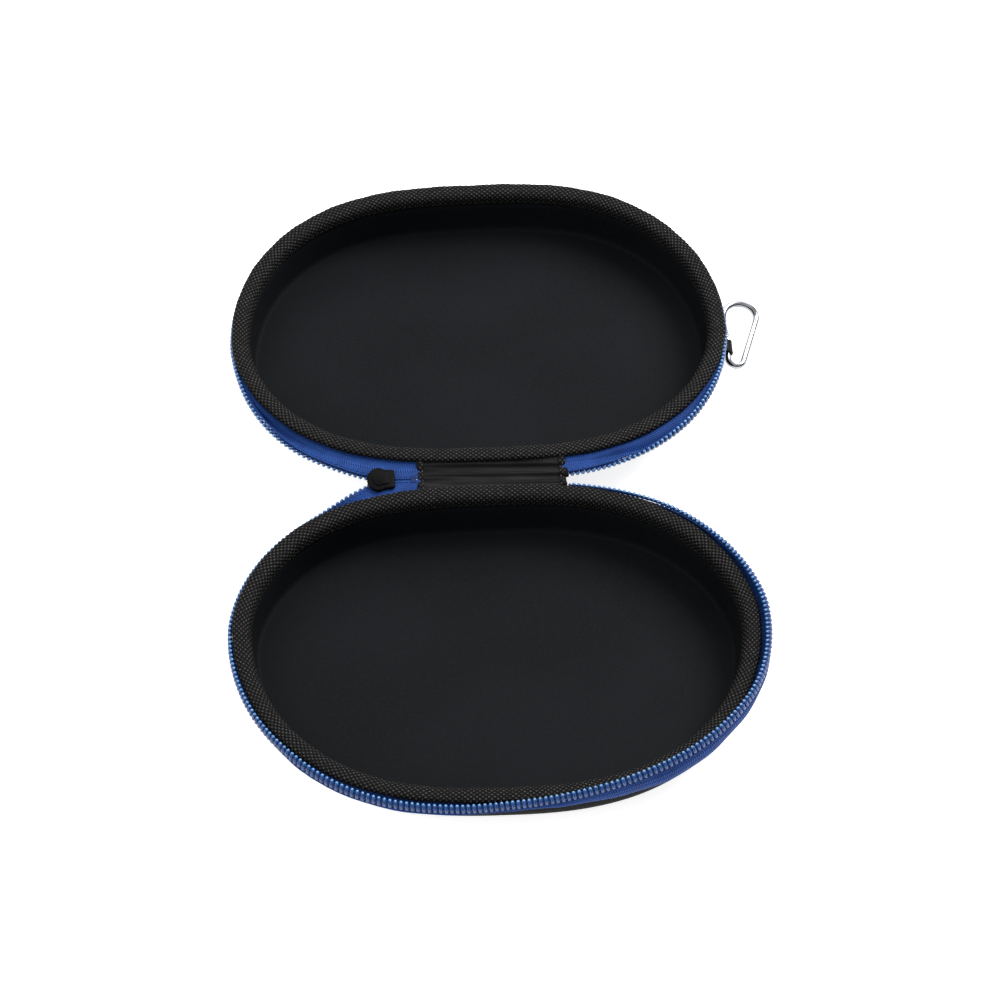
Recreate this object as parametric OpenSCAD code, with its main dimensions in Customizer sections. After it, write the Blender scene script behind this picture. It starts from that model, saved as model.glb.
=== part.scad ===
// Oval moulded travel case lying open: two padded half shells, joined along one long
// side by a fabric hinge and a coil zipper, with a small snap hook on a webbing loop.
// +Z is up. The origin is the middle of the flat face under the base half.

/* [Case] */
// Half of the case's length, at the outside of the rim binding
half_w = 100; // [90:1:110]
// Depth of the outline in front of its widest line
front_depth = 78; // [74:1:84]
// Depth of the outline behind its widest line, on the hinge side
back_depth = 63; // [60:1:66]
// Height of each half at its rim
rim_z = 25; // [25:0.5:26]
// Distance from the rim's edge to the hinge line when the case lies open
hinge_gap = 6.3; // [6.3:0.1:6.6]

/* [Outline curve] */
// Squareness of the front corners, along the length
front_n = 2.5; // [2.3:0.1:2.8]
// Squareness of the front corners, across the width
front_m = 2.1; // [2:0.1:2.3]
// Squareness of the hinge-side corners, along the length
back_n = 3.0; // [2.9:0.1:3.2]
// Squareness of the hinge-side corners, across the width
back_m = 1.7; // [1.6:0.1:1.8]
// Points round the outline
outline_steps = 48; // [40:8:56]

/* [Wall layers] */
// Thickness of the outer woven fabric
fabric_t = 0.8; // [0.7:0.05:0.85]
// Thickness of the lining
lining_t = 0.6; // [0.5:0.05:0.65]
// Thickness of the binding tape round the rim
binding_t = 1.0; // [0.8:0.05:1.0]
// Gap that keeps neighbouring layers apart
layer_gap = 0.05; // [0.03:0.01:0.06]

/* [Zipper] */
// Height of the zipper tape above the rim
tape_rise = 11; // [10:0.5:11]
// Thickness of the zipper tape
tape_t = 0.6; // [0.5:0.05:0.6]
// Height of one coil on its tape
coil_w = 4; // [3.5:0.1:4]
// Thickness of one coil
coil_t = 1.2; // [1:0.1:1.3]
// Height of the fold lines above the rim
fold_rise = 5; // [5:0.1:5.2]
// Travel of the slider from rest to the bottom stop
slider_travel = 6; // [4:0.5:6]

/* [Hinge panel] */
// Left end of the hinge panel
panel_x0 = -28.1; // [-28.1:0.1:-27]
// Right end of the hinge panel
panel_x1 = 30; // [29:0.1:30]
// Width of the panel across the hinge line
panel_w = 10.8; // [10:0.1:10.8]
// Thickness of each of its two layers
panel_t = 0.65; // [0.5:0.05:0.65]

/* [Hook] */
// Diameter of the hook's rod
rod_d = 2.6; // [2.4:0.1:2.6]
// Bend radius at the narrow end, to the rod's centre
hook_small_r = 3.2; // [3:0.1:3.4]
// Bend radius at the wide end, to the rod's centre
hook_large_r = 6.8; // [6.6:0.1:7]
// Length of the straight side that carries the gate
hook_leg = 22.3; // [22:0.1:23]
// Width of the webbing loop
webbing_w = 6; // [5.5:0.1:6]

/* [Hidden] */

black_cloth = [0.08, 0.08, 0.09];
charcoal = [0.16, 0.165, 0.18];
foam_grey = [0.22, 0.22, 0.23];
zip_blue = [0.10, 0.24, 0.52];
coil_blue = [0.25, 0.50, 0.80];
slider_black = [0.05, 0.05, 0.055];
bright_steel = [0.85, 0.86, 0.88];

widest_y = (front_depth - back_depth) / 2;   // widest line of the base half
hinge_y = widest_y + back_depth + hinge_gap; // line that the two halves mirror about
outline_bias = 14;                           // crowds the outline's points near x = 0, degrees

// ---- outline of the case, as a function of the station round it and of the inset ----
function signed_pow(v, p) = sign(v) * pow(abs(v), p);
function station_angle(i) =
    let (u = 360 * i / outline_steps) u + outline_bias * sin(2 * u);
function rim_point(angle, inset) =
    let (back = sin(angle) > 0,
         n = back ? back_n : front_n,
         m = back ? back_m : front_m,
         depth = back ? back_depth : front_depth)
    [(half_w - inset) * signed_pow(cos(angle), 2 / n),
     widest_y + (depth - inset) * signed_pow(sin(angle), 2 / m)];
// a point on the outline's polygon at a whole or part station
function on_rim(s, inset) =
    let (i = floor(s),
         a = rim_point(station_angle(i), inset),
         b = rim_point(station_angle(i + 1), inset))
    a + (s - i) * (b - a);
function rim_heading(s) =
    let (a = on_rim(floor(s), 0), b = on_rim(floor(s) + 1, 0)) atan2(b[1] - a[1], b[0] - a[0]);

// ---- profiles: each point is [inset from the binding's outer edge, depth below the rim] ----
rim_drop = binding_t + 0.1;        // top of the wall layers under the binding
skirt = 2;                         // depth of the binding's outer leg
skin = binding_t + layer_gap;      // inset of the outer fabric under the binding
floor_depth = rim_z;
inner_depth = 20;                  // depth of the padded floor's face
outside_face = [[20, floor_depth], [13.5, 23.5], [8.8, 20.5], [5.5, 17], [3.3, 13.5],
                [1.7, 10], [skin, 7], [skin, rim_drop]];
inside_face = [[6, rim_drop], [6, 5.2], [6.9, 7.5], [7.6, 12], [8.4, 16.5],
               [10.3, 18.6], [13.5, 19.7], [20, inner_depth]];
// how far each profile point moves, per unit of thickness, to step into the wall
outside_step = [[0, -1], [0.45, -0.89], [0.68, -0.73], [0.82, -0.57], [0.9, -0.44],
                [0.95, -0.3], [1, 0], [1, 0]];
inside_step = [[-1, 0], [-1, 0.1], [-1, 0.15], [-1, 0.1], [-0.9, 0.35],
               [-0.65, 0.7], [-0.3, 0.95], [0, 1]];

function moved(face, step, t) = [for (i = [0:len(face) - 1]) face[i] + t * step[i]];
function reversed(list) = [for (i = [len(list) - 1:-1:0]) list[i]];

// ---- surfaces lofted round the outline ----
function loft_points(section, stations) =
    [for (p = section, s = stations)
        let (q = on_rim(s, p[0])) [q[0], q[1], rim_z - p[1]]];
function loft_walls(rows, cols, rows_close, cols_close) =
    [for (k = [0:rows - (rows_close ? 1 : 2)], j = [0:cols - (cols_close ? 1 : 2)], half = [0, 1])
        let (k1 = (k + 1) % rows, j1 = (j + 1) % cols,
             a = k * cols + j, b = k * cols + j1, c = k1 * cols + j1, d = k1 * cols + j)
        half == 0 ? [a, d, c] : [a, c, b]];
whole_lap = [for (s = [0:outline_steps - 1]) s];

// a dish: the profile runs from the outside floor up over the rim to the inside floor
module dish(profile) {
    cols = outline_steps;
    rows = len(profile);
    polyhedron(loft_points(profile, whole_lap),
               concat([whole_lap], loft_walls(rows, cols, false, true),
                      [reversed([for (s = whole_lap) (rows - 1) * cols + s])]));
}

// a closed ring with the section given
module hoop(section) {
    polyhedron(loft_points(section, whole_lap),
               loft_walls(len(section), outline_steps, true, true));
}

// a band along part of the outline, between two stations
module band(section, first, last) {
    stations = concat([first], [for (s = [ceil(first + 0.01):floor(last - 0.01)]) s], [last]);
    cols = len(stations);
    rows = len(section);
    polyhedron(loft_points(section, stations),
               concat(loft_walls(rows, cols, true, false),
                      [reversed([for (k = [0:rows - 1]) k * cols]),
                       [for (k = [0:rows - 1]) k * cols + cols - 1]]));
}

// ---- one half of the case; the lid is the base mirrored about the hinge line ----
module as_lid() {
    translate([0, 2 * hinge_y, 0]) mirror([0, 1, 0]) children();
}

module outer_fabric() {
    dish(concat(outside_face, reversed(moved(outside_face, outside_step, fabric_t))));
}

module eva_shell() {
    dish(concat(moved(outside_face, outside_step, fabric_t + layer_gap),
                moved(inside_face, inside_step, lining_t + layer_gap)));
}

module lining() {
    dish(concat(reversed(moved(inside_face, inside_step, lining_t)), inside_face));
}

binding_in = 7;                    // inset of the binding's inner edge
binding_inner_leg = 5.2;           // depth of the binding inside the case
binding_round = 0.9;               // bevel that rounds the binding's two top edges
module rim_binding() {
    hoop([[0, skirt], [0, binding_round], [binding_round, 0],
          [binding_in - binding_round, 0], [binding_in, binding_round],
          [binding_in, binding_inner_leg], [binding_in - binding_t + layer_gap, binding_inner_leg],
          [binding_in - binding_t + layer_gap, binding_t], [binding_t, binding_t],
          [binding_t, skirt]]);
}

// zipper tape: sewn to the wall under the binding's edge, then standing outside the rim
zip_first = 16.6;                  // station of the tape's end beside the slider
zip_last = 57.56;                  // station of its other end, right of the hinge panel
stop_from = 57.1;                  // stations that the top stop covers
stop_to = 57.4;
seam_top = skirt + 0.1;            // the tape's sewn foot, under the binding's outer leg
seam_low = seam_top + tape_t;
tape_in = -layer_gap;              // inner face of the tape beside the binding
tape_out = tape_in - tape_t;
sewn_in = skin - 0.1;              // where the foot meets the wall
module zipper_tape() {
    band([[tape_out, seam_low], [tape_out, -tape_rise], [tape_in, -tape_rise],
          [tape_in, seam_top], [sewn_in, seam_top], [sewn_in, seam_low]],
         zip_first, zip_last);
}

coil_in = tape_out - layer_gap;
module zipper_coil() {
    coil_out = coil_in - coil_t;
    coil_low = coil_w - tape_rise;
    band([[coil_in - coil_t / 2, coil_low], [coil_out, coil_low - 0.6],
          [coil_out, 0.6 - tape_rise], [coil_in - coil_t / 2, -tape_rise],
          [coil_in, -tape_rise], [coil_in, coil_low]], zip_first + 0.2, stop_from - 0.02);
}

// top stop: a block moulded on the tape at the end of the coil
module top_stop() {
    a = on_rim(stop_from, coil_in);
    b = on_rim(stop_to, coil_in);
    translate([a[0], a[1], rim_z + tape_rise - coil_w - 0.4])
        rotate([0, 0, rim_heading(stop_from)])
            translate([0, -coil_t, 0]) cube([norm(b - a), coil_t, coil_w + 0.4]);
}

module base_outer_fabric() { color(black_cloth) outer_fabric(); }
module base_eva_shell() { color(foam_grey) eva_shell(); }
module base_lining() { color(charcoal) lining(); }
module base_rim_binding() { color(black_cloth) rim_binding(); }
module base_zipper_tape() { color(zip_blue) zipper_tape(); }
module base_zipper_coil() { color(coil_blue) zipper_coil(); }
module base_top_stop() { color(slider_black) top_stop(); }
module lid_outer_fabric() { color(black_cloth) as_lid() outer_fabric(); }
module lid_eva_shell() { color(foam_grey) as_lid() eva_shell(); }
module lid_lining() { color(charcoal) as_lid() lining(); }
module lid_rim_binding() { color(black_cloth) as_lid() rim_binding(); }
module lid_zipper_tape() { color(zip_blue) as_lid() zipper_tape(); }
module lid_zipper_coil() { color(coil_blue) as_lid() zipper_coil(); }
module lid_top_stop() { color(slider_black) as_lid() top_stop(); }

// ---- hinge panel: two layers of cloth bound at both ends ----
panel_top = rim_z - 1;             // upper face of the inner layer
end_binding_w = 2.5;
end_binding_t = 0.5;
module at_hinge() {
    translate([0, hinge_y, 0]) children();
}

module panel_layer(top) {
    inner = end_binding_t + layer_gap;
    at_hinge() translate([panel_x0 + inner, -panel_w / 2, top - panel_t])
        cube([panel_x1 - panel_x0 - 2 * inner, panel_w, panel_t]);
}

module end_binding() {
    stack = 2 * panel_t + layer_gap;
    height = stack + 2 * (end_binding_t + layer_gap);
    translate([0, -panel_w / 2, panel_top + end_binding_t + layer_gap - height])
        difference() {
            cube([end_binding_w, panel_w, height]);
            translate([end_binding_t, -1, end_binding_t])
                cube([end_binding_w, panel_w + 2, height - 2 * end_binding_t]);
        }
}

module hinge_inner_panel() { color(black_cloth) panel_layer(panel_top); }
module hinge_outer_panel() {
    color(black_cloth) panel_layer(panel_top - panel_t - layer_gap);
}
module hinge_end_binding_left() {
    color(black_cloth) at_hinge() translate([panel_x0, 0, 0]) end_binding();
}
module hinge_end_binding_right() {
    color(black_cloth) at_hinge() translate([panel_x1, 0, 0]) mirror([1, 0, 0]) end_binding();
}

// ---- closed length of zipper between the slider and the hinge panel ----
chain_y = -1;                      // middle of the chain, from the hinge line
chain_top = rim_z - 2.3;
chain_x0 = -39.4;
chain_x1 = panel_x0 - 0.3;
chain_seam = 0.7;                  // gap between the two tapes
chain_half = 5;                    // each tape's outer edge, from the chain's middle
chain_coil_t = 1.85;
bottom_stop_w = 2;
module at_chain() {
    translate([0, hinge_y + chain_y, 0]) children();
}

module chain_tapes() {
    color(zip_blue) at_chain()
        for (side = [0, 1]) mirror([0, side, 0])
            translate([chain_x0, chain_seam / 2, chain_top - tape_t])
                cube([chain_x1 - chain_x0, chain_half - chain_seam / 2, tape_t]);
}

stop_x0 = chain_x1 - 0.2 - bottom_stop_w;
module chain_coils() {
    coil_top = chain_top - tape_t - layer_gap;
    color(coil_blue) at_chain()
        translate([chain_x0, 0, 0]) rotate([90, 0, 90])
            linear_extrude(stop_x0 - layer_gap - chain_x0)
                polygon([[-coil_w / 2, coil_top], [coil_w / 2, coil_top],
                         [coil_w / 2, coil_top - chain_coil_t / 2],
                         [coil_w / 2 - 0.7, coil_top - chain_coil_t],
                         [0.7 - coil_w / 2, coil_top - chain_coil_t],
                         [-coil_w / 2, coil_top - chain_coil_t / 2]]);
}

// bottom stop: a block under the tapes held by a web and a bar above them
module zipper_bottom_stop() {
    block_top = chain_top - tape_t - layer_gap;
    web_w = chain_seam - 4 * layer_gap;
    color(slider_black) at_chain() translate([stop_x0, 0, 0]) {
        translate([0, -coil_w / 2 - 0.6, block_top - chain_coil_t - 0.2])
            cube([bottom_stop_w, coil_w + 1.2, chain_coil_t + 0.2]);
        translate([0, -web_w / 2, block_top - 0.1])
            cube([bottom_stop_w, web_w, tape_t + 3 * layer_gap + 0.1]);
        translate([0, -1.6, chain_top + layer_gap]) cube([bottom_stop_w, 3.2, 0.35]);
    }
}

// ---- slider: two plates joined by the wedge that parts the coils, and a crown ----
slider_x0 = -47.8;
slider_x1 = -36.9;
slider_y = chain_y - 0.4;
slider_nose = 5.4;                 // half width at the wide, rounded end
slider_tail = 4.3;                 // half width at the narrow end
plate_t = 1.3;
slider_clear = 0.35;               // room between the slider and the chain
upper_plate_z = chain_top + slider_clear;
lower_plate_z = chain_top - tape_t - layer_gap - chain_coil_t - slider_clear;
crown_x = -42.4;                   // pull tab's pivot
crown_half = 3.4;
crown_drop = 3.2;
pivot_drop = 1.05;                 // pivot below the lower plate's underside
plate_under_z = lower_plate_z - plate_t;
module at_slider() {
    translate([0, hinge_y + slider_y, 0]) children();
}

module slider_plate() {
    corner = 1;
    linear_extrude(plate_t)
        polygon(concat([for (a = [90:15:270])
                            [slider_x0 + slider_nose * (1 + cos(a)), slider_nose * sin(a)]],
                       [[slider_x1 - corner, -slider_tail], [slider_x1, corner - slider_tail],
                        [slider_x1, slider_tail - corner], [slider_x1 - corner, slider_tail]]));
}

module slider_body() {
    wedge_x1 = chain_x0 - slider_travel - 0.4;
    lip_in = coil_w / 2 + 0.75;
    lip_top = chain_top - tape_t - slider_clear;
    color(slider_black) at_slider() {
        translate([0, 0, upper_plate_z]) slider_plate();
        translate([0, 0, plate_under_z]) slider_plate();
        // wedge between the two coils
        translate([slider_x0 + 0.3, -1, lower_plate_z - 0.1])
            cube([wedge_x1 - slider_x0 - 0.3, 2, upper_plate_z - lower_plate_z + 0.2]);
        // side lips on the lower plate
        for (side = [0, 1]) mirror([0, side, 0])
            translate([slider_x0 + slider_nose, lip_in, lower_plate_z - 0.1])
                cube([slider_x1 - slider_x0 - slider_nose - 1.5, slider_tail - 0.1 - lip_in,
                      lip_top - lower_plate_z + 0.1]);
        // crown that holds the pull tab
        translate([crown_x, 1.2, plate_under_z + 0.05]) rotate([90, 0, 0])
            linear_extrude(2.4)
                difference() {
                    polygon([[-crown_half, 0], [crown_half, 0], [crown_half - 0.9, -crown_drop + 0.7],
                             [crown_half - 1.7, -crown_drop], [1.7 - crown_half, -crown_drop],
                             [0.9 - crown_half, -crown_drop + 0.7]]);
                    polygon([[1.3 - crown_half, 1], [crown_half - 1.3, 1],
                             [crown_half - 1.5, 1.3 - crown_drop], [crown_half - 2, 1 - crown_drop],
                             [2 - crown_half, 1 - crown_drop], [1.5 - crown_half, 1.3 - crown_drop]]);
                }
    }
}

// ---- pull tab: hangs under the slider from a cross rod through the crown ----
tab_rod_r = 0.6;
tab_length = 15.2;
tab_w = 7.2;
tab_t = 1.4;
tab_window = 5;                    // length of the window that clears the crown
tab_cheek_in = 1.6;
tab_cheek_out = 3;
module pull_tab() {
    color(slider_black) at_slider()
        translate([crown_x, 0, plate_under_z - pivot_drop]) {
            rotate([90, 0, 0]) cylinder(h = 2 * tab_cheek_out, r = tab_rod_r, center = true, $fn = 32);
            for (side = [0, 1]) mirror([0, side, 0]) {
                translate([-tab_rod_r, tab_cheek_in, -tab_window - 1])
                    cube([2 * tab_rod_r, tab_cheek_out - tab_cheek_in, tab_window + 1]);
                translate([0, tab_cheek_out, 0]) rotate([90, 0, 0])
                    cylinder(h = tab_cheek_out - tab_cheek_in, r = tab_rod_r + 0.15, $fn = 32);
            }
            // grip, with its lower corners cut
            rotate([90, 0, 90])
                translate([0, 0, -tab_t / 2])
                    linear_extrude(tab_t)
                        polygon([[-tab_cheek_out, -tab_window], [tab_cheek_out, -tab_window],
                                 [tab_w / 2, -tab_window - 1.2], [tab_w / 2, 1.8 - tab_length],
                                 [tab_w / 2 - 1.8, -tab_length], [1.8 - tab_w / 2, -tab_length],
                                 [-tab_w / 2, 1.8 - tab_length],
                                 [-tab_w / 2, -tab_window - 1.2]]);
        }
}

// ---- snap hook on the lid's right side, lying beside the lid ----
leg_x = 100.9;                     // hook's straight side, through the webbing loop
leg_y = hinge_y + 68.6;            // start of that side, at the narrow end
leg_z = 2.4;
hook_tilt = 4.5;                   // slope that rests the far side on the table, degrees
rod_r = rod_d / 2;
side_lean = atan((hook_large_r - hook_small_r) / hook_leg); // half angle between the sides
far_normal = -2 * side_lean;       // direction from a bend's centre to the far side's rod
gate_y = 11.4;                     // gate's pivot along the straight side
gate_tip = 21.4;
rivet_r = 0.45;
fork_gap = 0.55;                   // half of the slot between the fork's cheeks
fork_r = 1.4;                      // radius and half thickness of the fork
fork_root = 2.4;                   // fork's length behind the pivot
tongue_t = 0.7;
gate_r = 1.25;
gate_bore_r = 0.75;
gate_tube_y = gate_y + 1.75;
module at_hook() {
    translate([leg_x, leg_y, leg_z]) rotate([0, hook_tilt, 0]) children();
}

// the rod's route in the hook's plane: each station is [centre x, centre y, outward direction]
rod_sides = 16;
small_bend = [for (i = [0:10])
    let (a = 180 + (180 + far_normal) * i / 10)
    [hook_small_r * (1 + cos(a)), hook_small_r * sin(a), a]];
large_bend = [for (i = [0:16])
    let (a = 360 + far_normal + (180 - far_normal) * i / 16)
    [hook_large_r * (1 + cos(a)), hook_leg + hook_large_r * sin(a), a]];
rod_route = concat([[0, gate_y - fork_root + 0.4, 180]], small_bend, large_bend,
                   [[0, gate_tip + 0.3, 540]]);

module bent_rod() {
    cols = len(rod_route);
    polyhedron([for (k = [0:rod_sides - 1], p = rod_route)
                    let (a = 360 * k / rod_sides)
                    [p[0] + rod_r * cos(a) * cos(p[2]), p[1] + rod_r * cos(a) * sin(p[2]),
                     rod_r * sin(a)]],
               concat(loft_walls(rod_sides, cols, true, false),
                      [reversed([for (k = [0:rod_sides - 1]) k * cols]),
                       [for (k = [0:rod_sides - 1]) k * cols + cols - 1]]));
}

module hook_frame() {
    color(bright_steel) at_hook()
        difference() {
            union() {
                bent_rod();
                // fork round the gate's root
                translate([-fork_r, gate_y - fork_root, -fork_r])
                    cube([2 * fork_r, fork_root, 2 * fork_r]);
                translate([0, gate_y, 0])
                    cylinder(h = 2 * fork_r, r = fork_r, center = true, $fn = 48);
            }
            translate([-3, gate_y - 1.5, -fork_gap]) cube([6, 5, 2 * fork_gap]);
            translate([0, gate_y, 0])
                cylinder(h = 5, r = rivet_r + 0.01, center = true, $fn = 32);
        }
}

module hook_gate() {
    color(bright_steel) at_hook()
        difference() {
            union() {
                translate([0, gate_y, 0])
                    cylinder(h = tongue_t, r = 1.15, center = true, $fn = 48);
                translate([-1.1, gate_y, -tongue_t / 2])
                    cube([2.2, gate_tube_y - gate_y + 0.6, tongue_t]);
                translate([0, gate_tube_y, 0]) rotate([-90, 0, 0])
                    cylinder(h = gate_tip - gate_tube_y, r = gate_r, $fn = 32);
            }
            translate([0, gate_y, 0]) cylinder(h = 5, r = rivet_r + 0.05, center = true, $fn = 32);
            translate([0, gate_tube_y + 0.6, 0]) rotate([-90, 0, 0])
                cylinder(h = 4.6, r = gate_bore_r, $fn = 32);
            translate([0, gate_tube_y - 0.5, 0]) rotate([-90, 0, 0])
                cylinder(h = 1.2, r = 0.4, $fn = 32);
        }
}

module gate_rivet() {
    color(bright_steel) at_hook()
        translate([0, gate_y, 0]) cylinder(h = 2 * fork_r + 0.2, r = rivet_r, center = true, $fn = 32);
}

// closing spring in the gate's bore
spring_wire_r = 0.14;
spring_r = 0.54;
spring_turns = 7;
spring_steps = 10;                 // stations in each turn
spring_sides = 5;
module gate_spring() {
    cols = spring_turns * spring_steps + 1;
    pitch = 0.6;
    points = [for (k = [0:spring_sides - 1], j = [0:cols - 1])
        let (a = 360 * j / spring_steps, b = 360 * k / spring_sides,
             r = spring_r + spring_wire_r * cos(b))
        [r * cos(a), r * sin(a), pitch * j / spring_steps + spring_wire_r * sin(b)]];
    color(bright_steel) at_hook() translate([0, gate_tube_y + 0.8, 0]) rotate([-90, 0, 0])
        polyhedron(points,
                   concat(reversed_faces(loft_walls(spring_sides, cols, true, false)),
                          [[for (k = [0:spring_sides - 1]) k * cols],
                           reversed([for (k = [0:spring_sides - 1]) k * cols + cols - 1])]));
}
function reversed_faces(faces) = [for (f = faces) [f[0], f[2], f[1]]];

// webbing loop: sewn flat to the lid's wall, then round the hook's straight side
strap_t = 0.7;
loop_in = rod_r + 0.3;
loop_out = loop_in + strap_t;
webbing_y = leg_y + 2.9;
module hook_webbing_loop() {
    wall = (outside_face[4] - outside_face[5]) / norm(outside_face[4] - outside_face[5]);
    sewn_top = [half_w - outside_face[5][0] - 0.17 + layer_gap, rim_z - outside_face[5][1] - 0.4];
    down = [-wall[0], -wall[1]];   // along the wall, towards the floor
    out = [-down[1], down[0]];     // away from the wall
    sewn_low = sewn_top + 3.4 * down;
    ring = [leg_x, leg_z];
    up = (sewn_low - ring) / norm(sewn_low - ring);
    side = [-up[1], up[0]];
    neck = ring + (loop_out - 0.3) * up;
    color(black_cloth) translate([0, webbing_y + webbing_w, 0]) rotate([90, 0, 0])
        linear_extrude(webbing_w)
            difference() {
                union() {
                    translate(ring) circle(r = loop_out, $fn = 48);
                    polygon([sewn_top, sewn_low, neck + strap_t * side, neck - strap_t * side,
                             sewn_low + 2 * strap_t * out, sewn_top + 2 * strap_t * out]);
                }
                translate(ring) circle(r = loop_in, $fn = 48);
            }
}

base_outer_fabric();
base_eva_shell();
base_lining();
base_rim_binding();
base_zipper_tape();
base_zipper_coil();
base_top_stop();
lid_outer_fabric();
lid_eva_shell();
lid_lining();
lid_rim_binding();
lid_zipper_tape();
lid_zipper_coil();
lid_top_stop();
hinge_outer_panel();
hinge_inner_panel();
hinge_end_binding_left();
hinge_end_binding_right();
chain_tapes();
chain_coils();
zipper_bottom_stop();
slider_body();
pull_tab();
hook_webbing_loop();
hook_frame();
hook_gate();
gate_rivet();
gate_spring();
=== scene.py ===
# The looks of an oval headphone case lying open: woven skins, bound rims, blue coil zipper,
# fabric hinge and a chrome snap hook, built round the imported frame. Metres, +Z up.
import math

import bmesh
import bpy
import numpy as np
from mathutils import Matrix, Vector


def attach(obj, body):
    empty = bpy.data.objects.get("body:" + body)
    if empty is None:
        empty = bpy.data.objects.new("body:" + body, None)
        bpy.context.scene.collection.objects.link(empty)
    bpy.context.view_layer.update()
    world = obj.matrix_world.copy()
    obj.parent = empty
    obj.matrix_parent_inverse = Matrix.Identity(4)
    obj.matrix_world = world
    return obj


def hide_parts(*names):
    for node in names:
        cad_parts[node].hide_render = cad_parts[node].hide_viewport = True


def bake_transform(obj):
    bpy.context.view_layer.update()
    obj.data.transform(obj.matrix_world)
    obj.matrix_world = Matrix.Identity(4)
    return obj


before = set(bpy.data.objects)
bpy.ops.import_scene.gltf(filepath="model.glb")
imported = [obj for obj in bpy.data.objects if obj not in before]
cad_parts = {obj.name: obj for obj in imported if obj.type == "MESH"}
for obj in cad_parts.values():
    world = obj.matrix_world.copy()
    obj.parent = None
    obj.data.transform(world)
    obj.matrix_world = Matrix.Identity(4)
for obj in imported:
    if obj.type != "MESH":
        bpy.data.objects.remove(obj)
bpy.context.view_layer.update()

MM = 0.001
FULL_TURN = 360.0

# ---- driving dimensions of the case, in millimetres ----
HALF_W = 100.0
FRONT_DEPTH, BACK_DEPTH = 78.0, 63.0
FRONT_N, FRONT_M = 2.5, 2.1
BACK_N, BACK_M = 3.0, 1.7
RIM_Z = 25.0
HINGE_GAP = 6.3
WIDEST_Y = (FRONT_DEPTH - BACK_DEPTH) / 2
HINGE_Y = WIDEST_Y + BACK_DEPTH + HINGE_GAP
HALVES = ("base", "lid")


# ------------------------------------------------------------------ camera, floor, light
def make_camera():
    """Looks down at the open case from in front of the base, a little to the left."""
    yaw, pitch, roll = math.radians(3.581), math.radians(54.378), math.radians(0.903)
    level_reach = math.cos(pitch)
    ahead = Vector((math.sin(yaw) * level_reach, math.cos(yaw) * level_reach, -math.sin(pitch)))
    level = Vector((math.cos(yaw), -math.sin(yaw), 0))
    above = level.cross(ahead)
    right = math.cos(roll) * level + math.sin(roll) * above
    up = math.cos(roll) * above - math.sin(roll) * level
    place = Vector((-47.3, HINGE_Y - 825.9, RIM_Z + 1135.4)) * MM
    data = bpy.data.cameras.new("camera")
    data.lens, data.sensor_width = 129.6, 36.0
    data.clip_end = 20
    camera = bpy.data.objects.new("camera", data)
    bpy.context.scene.collection.objects.link(camera)
    rotation = Matrix((right, up, -ahead)).transposed().to_4x4()
    camera.matrix_world = Matrix.Translation(place) @ rotation
    bpy.context.scene.camera = camera


def area_light(name, place, target, size, watts, colour=(1, 1, 1)):
    data = bpy.data.lights.new(name, "AREA")
    data.shape, data.size, data.size_y = "RECTANGLE", size[0], size[1]
    data.energy, data.color = watts, colour
    lamp = bpy.data.objects.new(name, data)
    bpy.context.scene.collection.objects.link(lamp)
    lamp.location = place
    lamp.rotation_euler = (Vector(target) - Vector(place)).to_track_quat("-Z", "Y").to_euler()


FLOOR_REACH = 3.0


def make_studio():
    """Soft lamps, a world that is white to the camera and darker below, and a pale floor."""
    middle = (0, HINGE_Y * MM, 0)
    area_light("key", (0.9, 0.75, 1.1), middle, (0.8, 0.8), 26)
    area_light("fill", (-1.0, -0.3, 1.0), middle, (1.0, 1.0), 6)
    area_light("back", (-0.1, 1.3, 0.8), middle, (1.4, 0.5), 9)
    world = bpy.data.worlds.new("studio")
    world.use_nodes = True
    tree = world.node_tree
    sky = tree.nodes["Background"]
    sky.inputs["Strength"].default_value = 1.0
    split = tree.nodes.new("ShaderNodeSeparateXYZ")
    tree.links.new(tree.nodes.new("ShaderNodeTexCoord").outputs["Generated"], split.inputs[0])
    band = tree.nodes.new("ShaderNodeMapRange")
    band.interpolation_type = "SMOOTHSTEP"
    for socket, value in zip(("From Min", "From Max", "To Min", "To Max"), (0.42, 0.62, 0.06, 0.62)):
        band.inputs[socket].default_value = value
    tree.links.new(split.outputs[2], band.inputs["Value"])
    ray = tree.nodes.new("ShaderNodeLightPath")
    seen = tree.nodes.new("ShaderNodeMath")
    seen.operation = "MAXIMUM"
    tree.links.new(band.outputs[0], seen.inputs[0])
    tree.links.new(ray.outputs["Is Camera Ray"], seen.inputs[1])
    tree.links.new(seen.outputs[0], sky.inputs["Color"])
    bpy.context.scene.world = world
    bpy.context.scene.view_settings.view_transform = "Standard"
    far = FLOOR_REACH
    mesh = bpy.data.meshes.new("floor")
    mesh.from_pydata([(-far, -far, 0), (far, -far, 0), (far, far, 0), (-far, far, 0)], [], [(0, 1, 2, 3)])
    floor = bpy.data.objects.new("floor", mesh)
    bpy.context.scene.collection.objects.link(floor)
    floor.data.materials.append(floor_material())


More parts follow.
